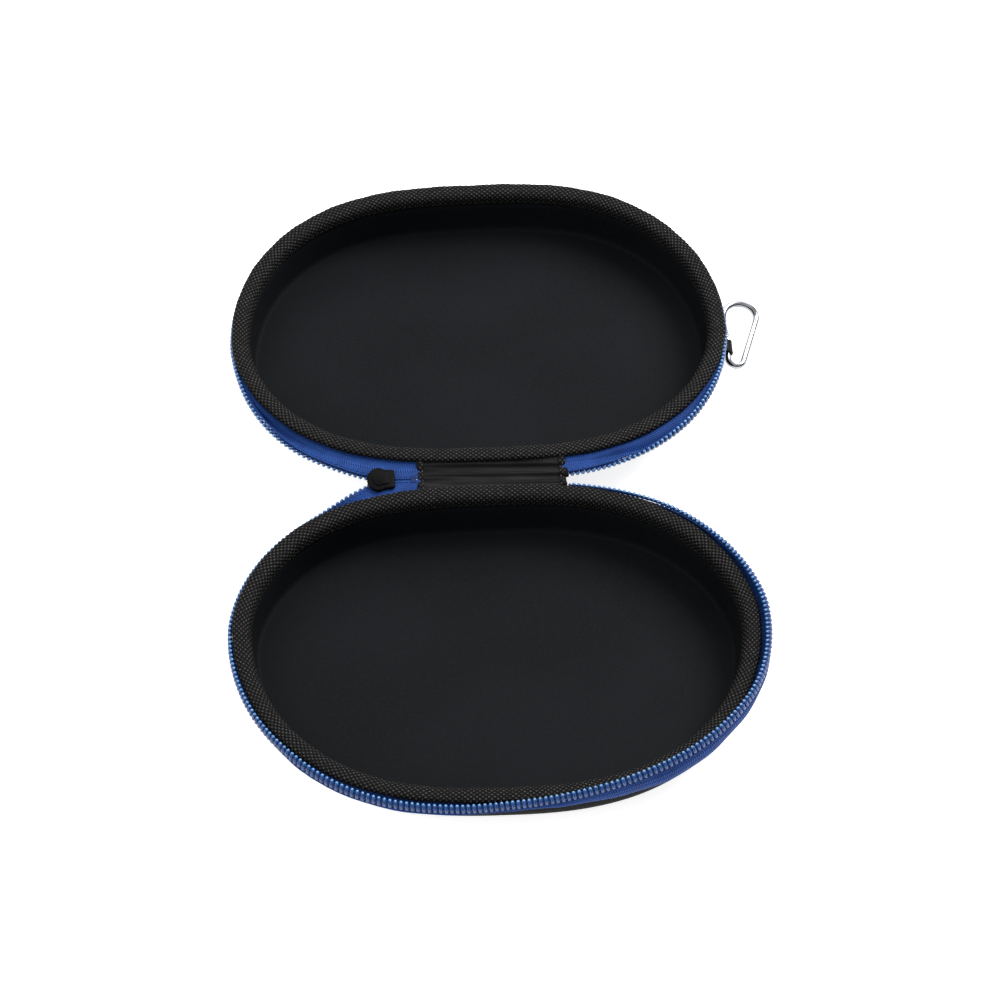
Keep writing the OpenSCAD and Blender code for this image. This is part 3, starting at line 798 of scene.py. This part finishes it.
def tape_lay(half, length):
    """Top edge and directions of the tape at each distance along the outline."""
    table = np.array(TAPE_LAY[half], float)
    chain = []
    for x, parted in CHAIN_PARTING:
        angle = hinge_side_angle(x)
        y = float(outline(np.array([angle]))[0, 1])
        middle = CHAIN_Y if half == "base" else 2 * HINGE_Y - CHAIN_Y
        chain.append((angle, middle - y - CHAIN_SPLIT - parted, CHAIN_Z, -90, -88))
    table = np.vstack([chain, table])
    keys = length_at(table[:, 0])
    fine = np.arange(keys[0], keys[-1], 0.5)
    side = 30
    past_chain = np.clip((fine - keys[3]) / 12.0, 0, 1)
    out = []
    for column in table[:, 1:].T:
        raw = np.interp(fine, keys, column)
        padded = np.concatenate([np.full(side, raw[0]), raw, np.full(side, raw[-1])])
        eased = np.convolve(padded, bell(side, 9.0), "valid")
        out.append(np.interp(length, fine, raw * (1 - past_chain) + eased * past_chain))
    return np.array(out)


def tape_section(half, length, rows):
    """Rows of (out, height) points from the seam to the tape's top edge, at each station."""
    top_out, top_z, lean, leave = tape_lay(half, length)
    ripple = 0.22 * np.sin(length / 7.3) + 0.15 * np.sin(length / 3.1 + 2.0)
    lean, leave = np.radians(lean), np.radians(leave)
    coil_dir = np.stack([-np.sin(lean), np.cos(lean)])
    leave_dir = np.stack([-np.sin(leave), np.cos(leave)])
    tuck = np.clip((-np.degrees(leave) - 125) / 40, 0, 1)
    seam = np.stack([SEAM_OUT - 1.45 * tuck, SEAM_Z - 0.9 * tuck])
    top = np.stack([top_out, top_z])
    low = top - coil_dir * STRAIGHT
    span = np.linalg.norm(low - seam, axis=0)
    pull = np.maximum(span * 0.5, 1.6)
    t = np.linspace(0, 1, rows)[:, None, None]
    p1 = seam + leave_dir * pull
    p2 = low - coil_dir * pull
    curve = ((1 - t) ** 3 * seam + 3 * (1 - t) ** 2 * t * p1 + 3 * (1 - t) * t ** 2 * p2 + t ** 3 * low)
    bulge = np.sin(math.pi * np.linspace(0, 1, rows))[:, None] * ripple
    curve[:, 0] += bulge
    straight = low + coil_dir * STRAIGHT * np.linspace(0.2, 1, 5)[:, None, None]
    hem = np.array(TAPE_HEM)[:, :, None] * np.ones_like(length)
    hem[-1] = hem[-1] * (1 - tuck) + np.array([[-1.0], [-2.5]]) * tuck
    return np.vstack([hem, curve, straight]), coil_dir, top


def zip_span():
    """Where the zipper starts and ends along the outline, both under the hinge panel."""
    return (float(length_at(hinge_side_angle(ZIP_LEFT))),
            float(length_at(hinge_side_angle(ZIP_RIGHT) + FULL_TURN)))


def make_tape(half, mats):
    """The blue tape: hem under the binding, bend and straight top edge, with thickness."""
    first, last = zip_span()
    cols = 900
    length = np.linspace(first, last, cols)
    section, _, _ = tape_section(half, length, 14)
    # thickness: the outer face, then back along the inner face
    direction = np.gradient(section, axis=0)
    direction /= np.linalg.norm(direction, axis=1)[:, None]
    normal = np.stack([direction[:, 1], -direction[:, 0]], 1)
    outer = section + normal * TAPE_T / 2
    inner = section - normal * TAPE_T / 2
    loop = np.concatenate([outer, inner[::-1]])
    points = np.array([placed(half, length, row[0], row[1]) for row in loop])
    step = np.linalg.norm(np.diff(section[:, :, cols // 2], axis=0), axis=1)
    across = np.concatenate([[0], np.cumsum(step)])
    across = np.concatenate([across, across[::-1]])
    piece = grid_piece(f"{half}_zip_tape", points, mats["tape"], close_rows=True,
                       caps=True, along=length, across=across)
    cross_joint(piece)
    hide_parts(f"{half}_zipper_tape", "chain_tapes")


def make_coil(half, mats):
    """A nylon coil sewn along the tape's outer face, its heads just past the tape's edge."""
    first, last = zip_span()
    first, last = first + 2.4, last - 2.0
    turns = int((last - first) / COIL_PITCH)
    per_turn = 14
    phase = np.arange(turns * per_turn + 1) / per_turn
    # the front legs run straight across; the back ones carry the coil on to its next turn
    swing = 2 * math.pi * phase
    lead = 0.13 * np.cos(swing)
    length = first + (phase + lead) * COIL_PITCH + (0.0 if half == "base" else COIL_PITCH / 2)
    _, coil_dir, top = tape_section(half, length, 3)
    face_dir = np.stack([coil_dir[1], -coil_dir[0]])
    up = HEAD_PROUD - COIL_W / 2 + (COIL_W / 2 - WIRE_R) * np.cos(swing)
    off = TAPE_T / 2 + WIRE_R + COIL_SWING * (1 + np.sin(swing))
    centre = top + coil_dir * up + face_dir * off
    path = placed(half, length, centre[0], centre[1])
    head = np.clip(np.cos(swing), 0, 1) ** 6
    front = 0.5 + 0.5 * np.sin(swing)
    radius = WIRE_R * (0.75 + 0.48 * front) * (1 + 0.05 * head)
    # tone is painted light: high on the heads and front legs for a painted highlight, low on the back
    # legs for painted shade.
    tone = np.clip(0.45 * front + 0.15 * np.cos(swing) + 0.45 * head, 0, 1)
    piece = tube_piece(f"{half}_nylon_coil", [path], [radius], 8, mats["coil"], tone)
    core_at = top + coil_dir * (HEAD_PROUD - COIL_W / 2 + 0.1) + face_dir * (TAPE_T / 2 + WIRE_R + 0.2)
    core_path = placed(half, length, core_at[0], core_at[1])[::5]
    core = tube_piece(f"{half}_coil_core", [core_path], [0.62], 8, mats["blue_core"])
    for part in (piece, core):
        cross_joint(part)
        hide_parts(f"{half}_zipper_coil", "chain_coils")
    make_coil_thread(half, mats, first, last)
    make_top_stop(half, mats, last)


def make_coil_thread(half, mats, first, last):
    """The chain stitch that holds the coil to its tape, on both faces."""
    count = int((last - first) / COIL_PITCH)
    paths = []
    for i in range(count):
        length = first + (i + np.array([0.1, 0.35, 0.65, 0.9])) * COIL_PITCH
        _, coil_dir, top = tape_section(half, length, 3)
        face_dir = np.stack([coil_dir[1], -coil_dir[0]])
        slant = np.array([-0.25, -0.08, 0.08, 0.25])
        rise = np.array([0.0, 0.12, 0.12, 0.0])
        outer = top + coil_dir * (slant - 2.3) + face_dir * (TAPE_T / 2 + rise)
        inner = top + coil_dir * (slant - 1.0) - face_dir * (TAPE_T / 2 + rise)
        for centre in (outer, inner):
            paths.append(placed(half, length, centre[0], centre[1]))
    piece = tube_piece(f"{half}_coil_thread", paths, [0.17] * len(paths), 5, mats["blue_thread"])
    cross_joint(piece)


def make_top_stop(half, mats, last):
    """A black clip squeezed over the coil's end."""
    length = np.linspace(last + 0.1, last + 1.7, 5)
    _, coil_dir, top = tape_section(half, length, 3)
    face_dir = np.stack([coil_dir[1], -coil_dir[0]])
    ring = np.linspace(0, 2 * math.pi, 20, endpoint=False)
    rows = []
    for a in ring:
        c, s = math.cos(a), math.sin(a)
        wide = math.copysign(abs(c) ** 0.5, c) * 2.1
        thick = math.copysign(abs(s) ** 0.5, s) * 0.9
        centre = top + coil_dir * (wide - 0.2) + face_dir * (thick + 0.5)
        rows.append(placed(half, length, centre[0], centre[1]))
    piece = grid_piece(f"{half}_stop_clip", np.array(rows), mats["enamel"],
                       close_rows=True, caps=True)
    cross_joint(piece)
    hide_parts(f"{half}_top_stop")


def cross_joint(piece):
    """The piece's placement, baked into its mesh."""
    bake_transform(piece)


# ------------------------------------------------------------------ hinge panel
PANEL_REACH = 10.4
PANEL_T, LAYER_DROP = 0.6, 0.75
END_STRIP_T = 0.4


def panel_height(x, y):
    """Top of the hinge cloth above the rim: sunk between the rims, with long soft folds."""
    across = np.clip(y / 7.2, -1, 1)
    sag = -1.2 - 1.3 * (1 - across ** 2)
    folds = (0.42 * np.sin(y * 1.35 + 0.9 + 0.35 * np.sin(x / 9.0))
             + 0.15 * np.sin(y * 2.9 + x / 11.0) + 0.08 * np.sin(x / 3.7 + y * 0.6))
    calm = np.clip((1 - np.abs(across)) * 3, 0, 1)
    return sag + folds * calm


def make_hinge_panel(mats):
    """Two layers of satin cloth across the gap, split at the middle."""
    for half, y0, y1 in (("base", -PANEL_REACH, 0.0), ("lid", 0.0, PANEL_REACH)):
        x = np.linspace(PANEL_LEFT + 0.6, PANEL_RIGHT - 0.6, 150)
        y = np.linspace(y0, y1, 40)
        xx, yy = np.meshgrid(x, y, indexing="xy")
        top = np.stack([xx, HINGE_Y + yy, RIM_Z + panel_height(xx, yy)], -1)
        for layer, node, drop in (("upper", "hinge_inner_panel", 0.0),
                                  ("under", "hinge_outer_panel", LAYER_DROP)):
            upper = top - (0, 0, drop)
            lower = top[::-1] - (0, 0, drop + PANEL_T)
            points = np.concatenate([upper, lower])
            across = np.concatenate([y, y[::-1]])
            piece = grid_piece(f"hinge_cloth_{layer}_{half}", points, mats["hinge_cloth"],
                               close_rows=True, caps=True, along=x, across=across)
            cross_joint(piece)
            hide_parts(node)
        make_end_bindings(half, np.linspace(y0, y1, 24) * 0.7, mats)


def make_end_bindings(half, y, mats):
    """Folded strips that finish the panel's two ends."""
    for side, x0, inward in (("left", PANEL_LEFT, 1), ("right", PANEL_RIGHT, -1)):
        fold = np.array([(2.5, 0.5), (1.6, 0.62), (0.6, 0.55), (0.05, 0.0), (0.0, -0.8),
                         (0.3, -1.7), (1.2, -1.95), (2.5, -1.85)])
        fold = spline(fold, 3)
        inner = offset_profile(fold, END_STRIP_T)
        loop = np.vstack([fold, inner[::-1]])
        rows = []
        for dx, dz in loop:
            x = np.full_like(y, x0 + inward * dx)
            middle = panel_height(np.full_like(y, x0 + inward * 1.2), y)
            rows.append(np.stack([x, HINGE_Y + y, RIM_Z + middle + dz], -1))
        piece = grid_piece(f"hinge_end_{side}_{half}", np.array(rows), mats["binding"],
                           close_rows=True, caps=True, along=y)
        cross_joint(piece)
        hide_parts(f"hinge_end_binding_{side}")


# ------------------------------------------------------------------ slider and pull tab
SLIDER_Y = HINGE_Y - 1.4
CROWN_X, BOSS_X = -42.4, -42.6
PIVOT_Z = 17.5


def slider_outline():
    """The plates' edge: a round nose to the left, a waist and a square tail."""
    nose, tail = 5.6, 4.4
    arc = [(SLIDER_LEFT + nose * (1 + math.cos(a)) * 0.86, nose * math.sin(a))
           for a in np.radians(np.arange(90, 271, 12))]
    waist = -40.6
    rest = [(waist, -tail - 0.1), (SLIDER_RIGHT - 0.6, -tail), (SLIDER_RIGHT, 0.7 - tail),
            (SLIDER_RIGHT, tail - 0.7), (SLIDER_RIGHT - 0.6, tail), (waist, tail + 0.1)]
    return [(x, y + SLIDER_Y) for x, y in arc + rest]


def slider_plate(name, edge, depths, mats, bevel, segments=3):
    """A part of the slider between two depths below the rim."""
    low, high = RIM_Z - depths[0], RIM_Z - depths[1]
    return solid_piece(name, edge, low, high, mats["enamel"], bevel=bevel, segments=segments)


def make_slider(mats):
    """Two plates with a boss, the wedge between the coils, the lips and the pull tab's crown."""
    boss = [(BOSS_X + (x - BOSS_X) * 0.62, (y - SLIDER_Y) * 0.6 + SLIDER_Y)
            for x, y in slider_outline()]
    pieces = [slider_plate("slider_top_plate", slider_outline(), (1.95, 0.45), mats, 0.55, 4),
              slider_plate("slider_top_boss", boss, (0.6, 0.05), mats, 0.25),
              slider_plate("slider_under_plate", slider_outline(), (6.45, 5.15), mats, 0.4)]
    wedge = [(-47.6, -0.3), (-47.0, -0.6), (-46.5, -0.2), (-46.4, 0.0), (-46.5, 0.2), (-47.0, 0.6),
             (-47.6, 0.3)]
    pieces.append(slider_plate("slider_wedge", [(x, y + SLIDER_Y) for x, y in wedge],
                               (5.3, 1.8), mats, 0.15))
    for side, word in ((-1, "front"), (1, "back")):
        lip = [(-42.2, 2.8 * side), (-38.2, 2.8 * side), (-38.2, 4.1 * side), (-42.2, 4.3 * side)]
        pieces.append(slider_plate(f"slider_lip_{word}", [(x, y + SLIDER_Y) for x, y in lip],
                                   (5.3, 4.5), mats, 0.25))
    arch = spline([(-3.3, 0.3), (-3.1, -1.2), (-2.2, -2.5), (0, -2.85), (2.2, -2.5), (3.1, -1.2),
                   (3.3, 0.3)], 5)
    path = [(CROWN_X + x, SLIDER_Y, RIM_Z - 6.3 + z) for x, z in arch]
    pieces.append(tube_piece("slider_crown", [path], [0.62], 14, mats["enamel"]))
    for piece in pieces:
        belongs(piece, "slider", "slider_body")


def make_pull_tab(mats):
    """A ring through the crown and a grip with a raised border, hanging under the slider."""
    ring = spline([(0, -2.3, 0.0), (0, -2.5, -2.4), (0, -2.3, -5.2), (0, 0, -5.6), (0, 2.3, -5.2),
                   (0, 2.5, -2.4), (0, 2.3, 0.0), (0, 0, 0.12), (0, -2.3, 0.0)], 5)
    path = ring + np.array([CROWN_X, SLIDER_Y, PIVOT_Z])
    loop = tube_piece("pull_tab_ring", [path], [0.55], 12, mats["enamel"])
    edge = [(-2.7, 5.2), (2.7, 5.2), (3.5, 6.6), (3.5, 13.4), (2.2, 15.1), (-2.2, 15.1),
            (-3.5, 13.4), (-3.5, 6.6)]
    stand = Matrix(((0, 0, 1, CROWN_X * MM), (1, 0, 0, SLIDER_Y * MM), (0, -1, 0, PIVOT_Z * MM),
                    (0, 0, 0, 1)))
    grip = solid_piece("pull_tab_grip", edge, -0.6, 0.6, mats["enamel"], bevel=0.35, place=stand)
    inset = [(x * 0.62, 10.2 + (y - 10.2) * 0.62) for x, y in edge]
    rib = solid_piece("pull_tab_raised_panel", inset, -0.78, 0.78, mats["enamel"], bevel=0.2,
                      place=stand)
    for piece in (loop, grip, rib):
        belongs(piece, "pull_tab", "pull_tab")


# ------------------------------------------------------------------ snap hook
HOOK = Vector((100.9, HINGE_Y + 68.6, 2.4))
HOOK_TILT = math.radians(4.5)
SMALL_R, LARGE_R, LEG = 3.2, 6.8, 22.3
ROD_R = 1.3
GATE_Y, GATE_TIP = 11.4, 21.4


def hook_place():
    return Matrix.Translation(HOOK * MM) @ Matrix.Rotation(HOOK_TILT, 4, "Y")


def hook_tube(name, path, radii, mats, body, node):
    piece = tube_piece(name, [path], [radii], 24, mats["chrome"])
    piece.data.transform(hook_place())
    belongs(piece, body, node)


def make_hook(mats):
    """The bent rod with its fork, the rivet, and the gate that springs against the rod's end."""
    lean = math.atan((LARGE_R - SMALL_R) / LEG)
    far = -2 * lean
    path = [(0, GATE_Y - 2.2, 0), (0, 4, 0)]
    for a in np.linspace(math.pi, 2 * math.pi + far, 22):
        path.append((SMALL_R * (1 + math.cos(a)), SMALL_R * math.sin(a), 0))
    for a in np.linspace(2 * math.pi + far, 3 * math.pi, 34):
        path.append((LARGE_R * (1 + math.cos(a)), LEG + LARGE_R * math.sin(a), 0))
    path.append((0, GATE_TIP + 0.35, 0))
    hook_tube("hook_bent_rod", path, ROD_R, mats, "hook", "hook_frame")
    # fork: two cheeks with a slot for the gate's tongue
    cheek = [(-1.35, GATE_Y - 2.5), (1.35, GATE_Y - 2.5)]
    cheek += [(1.35 * math.cos(a), GATE_Y + 1.35 * math.sin(a)) for a in np.linspace(0, math.pi, 15)]
    for side, low, high in (("upper", 0.5, 1.35), ("lower", -1.35, -0.5)):
        piece = solid_piece(f"hook_fork_{side}", cheek, low, high, mats["chrome"], bevel=0.2,
                            place=hook_place())
        belongs(piece, "hook", "hook_frame")
    rivet_profile = [(0.0, -1.62), (0.55, -1.58), (0.72, -1.45), (0.45, -1.34), (0.45, 1.34),
                     (0.72, 1.45), (0.55, 1.58), (0.0, 1.62)]
    rings = np.linspace(0, 2 * math.pi, 24, endpoint=False)
    points = np.array([[(max(r, 0.02) * math.cos(a), GATE_Y + max(r, 0.02) * math.sin(a), z)
                        for a in rings] for r, z in rivet_profile])
    rivet = grid_piece("hook_rivet", points, mats["chrome"], close_cols=True, caps=True)
    rivet.data.transform(hook_place())
    belongs(rivet, "hook", "gate_rivet")
    # gate: a turned rod with a shoulder, a waist and a rounded tip
    stations = np.array([GATE_Y + 1.7, GATE_Y + 2.0, GATE_Y + 4.5, GATE_Y + 5.0, GATE_TIP - 2.2,
                         GATE_TIP - 1.8, GATE_TIP - 0.5, GATE_TIP - 0.1])
    radii = np.array([1.05, 1.22, 1.22, 1.08, 1.08, 1.22, 1.22, 1.0])
    hook_tube("hook_gate_rod", [(0, y, 0) for y in stations], radii, mats, "gate", "hook_gate")
    tongue = [(-1.05, GATE_Y + 2.0), (-1.1, GATE_Y), (-0.8, GATE_Y - 0.8), (0, GATE_Y - 1.1),
              (0.8, GATE_Y - 0.8), (1.1, GATE_Y), (1.05, GATE_Y + 2.0)]
    piece = solid_piece("hook_gate_tongue", tongue, -0.35, 0.35, mats["chrome"], bevel=0.1,
                        place=hook_place())
    belongs(piece, "gate", "hook_gate")


def make_webbing(mats):
    """The webbing loop: sewn to the lid's wall, down and round the hook's straight side."""
    x0, z0 = HOOK.x, HOOK.z
    loop_r = ROD_R + 0.65
    wall = [(98.4, 14.6), (97.75, 13.0), (97.3, 11.6)]
    ring = [(x0 + loop_r * math.cos(a), z0 + loop_r * math.sin(a))
            for a in np.radians([165, 200, 235, 270, 305, 340, 15, 50, 80])]
    back = [(99.0, 9.0), (98.6, 11.9), (99.1, 13.3), (99.6, 14.3)]
    centre = spline(wall + [(98.6, 8.2)] + ring + back, 5)
    outer = offset_profile(centre, 0.32)
    inner = offset_profile(centre, -0.32)
    loop = np.vstack([outer, inner[::-1]])
    y = np.linspace(0.0, 6.0, 13) + HINGE_Y + 71.5
    points = np.array([np.stack([np.full_like(y, p[0]), y, np.full_like(y, p[1])], -1) for p in loop])
    run = np.concatenate([[0], np.cumsum(np.linalg.norm(np.diff(centre, axis=0), axis=1))])
    piece = grid_piece("hook_webbing", points, mats["webbing"], close_rows=True, caps=True,
                       along=y, across=np.concatenate([run, run[::-1]]))
    belongs(piece, "lid", "hook_webbing_loop")


# ------------------------------------------------------------------ everything
def main():
    make_camera()
    make_studio()
    mats = {
        "skin": skin_material(), "lining": lining_material(), "binding": binding_material(),
        "hinge_cloth": hinge_cloth_material(), "tape": tape_material(), "coil": coil_material(),
        "foam": foam_material(), "webbing": webbing_material(), "enamel": enamel_material(),
        "chrome": chrome_material(), "wire": wire_material(),
        "black_thread": thread_material("black_thread", (0.008, 0.008, 0.008), (0.03, 0.029, 0.028)),
        "blue_core": thread_material("blue_coil_core", (0.004, 0.016, 0.07), (0.008, 0.03, 0.12)),
        "blue_thread": thread_material("blue_thread", (0.010, 0.04, 0.16), (0.03, 0.09, 0.3)),
    }
    for half in HALVES:
        make_shells(half, mats)
        make_binding(half, mats)
        make_tape(half, mats)
        make_coil(half, mats)
    make_hinge_panel(mats)
    make_slider(mats)
    make_pull_tab(mats)
    make_hook(mats)
    make_webbing(mats)
    for node, material in (("zipper_bottom_stop", "blue_core"), ("gate_spring", "wire")):
        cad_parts[node].data.materials.clear()
        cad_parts[node].data.materials.append(mats[material])


main()
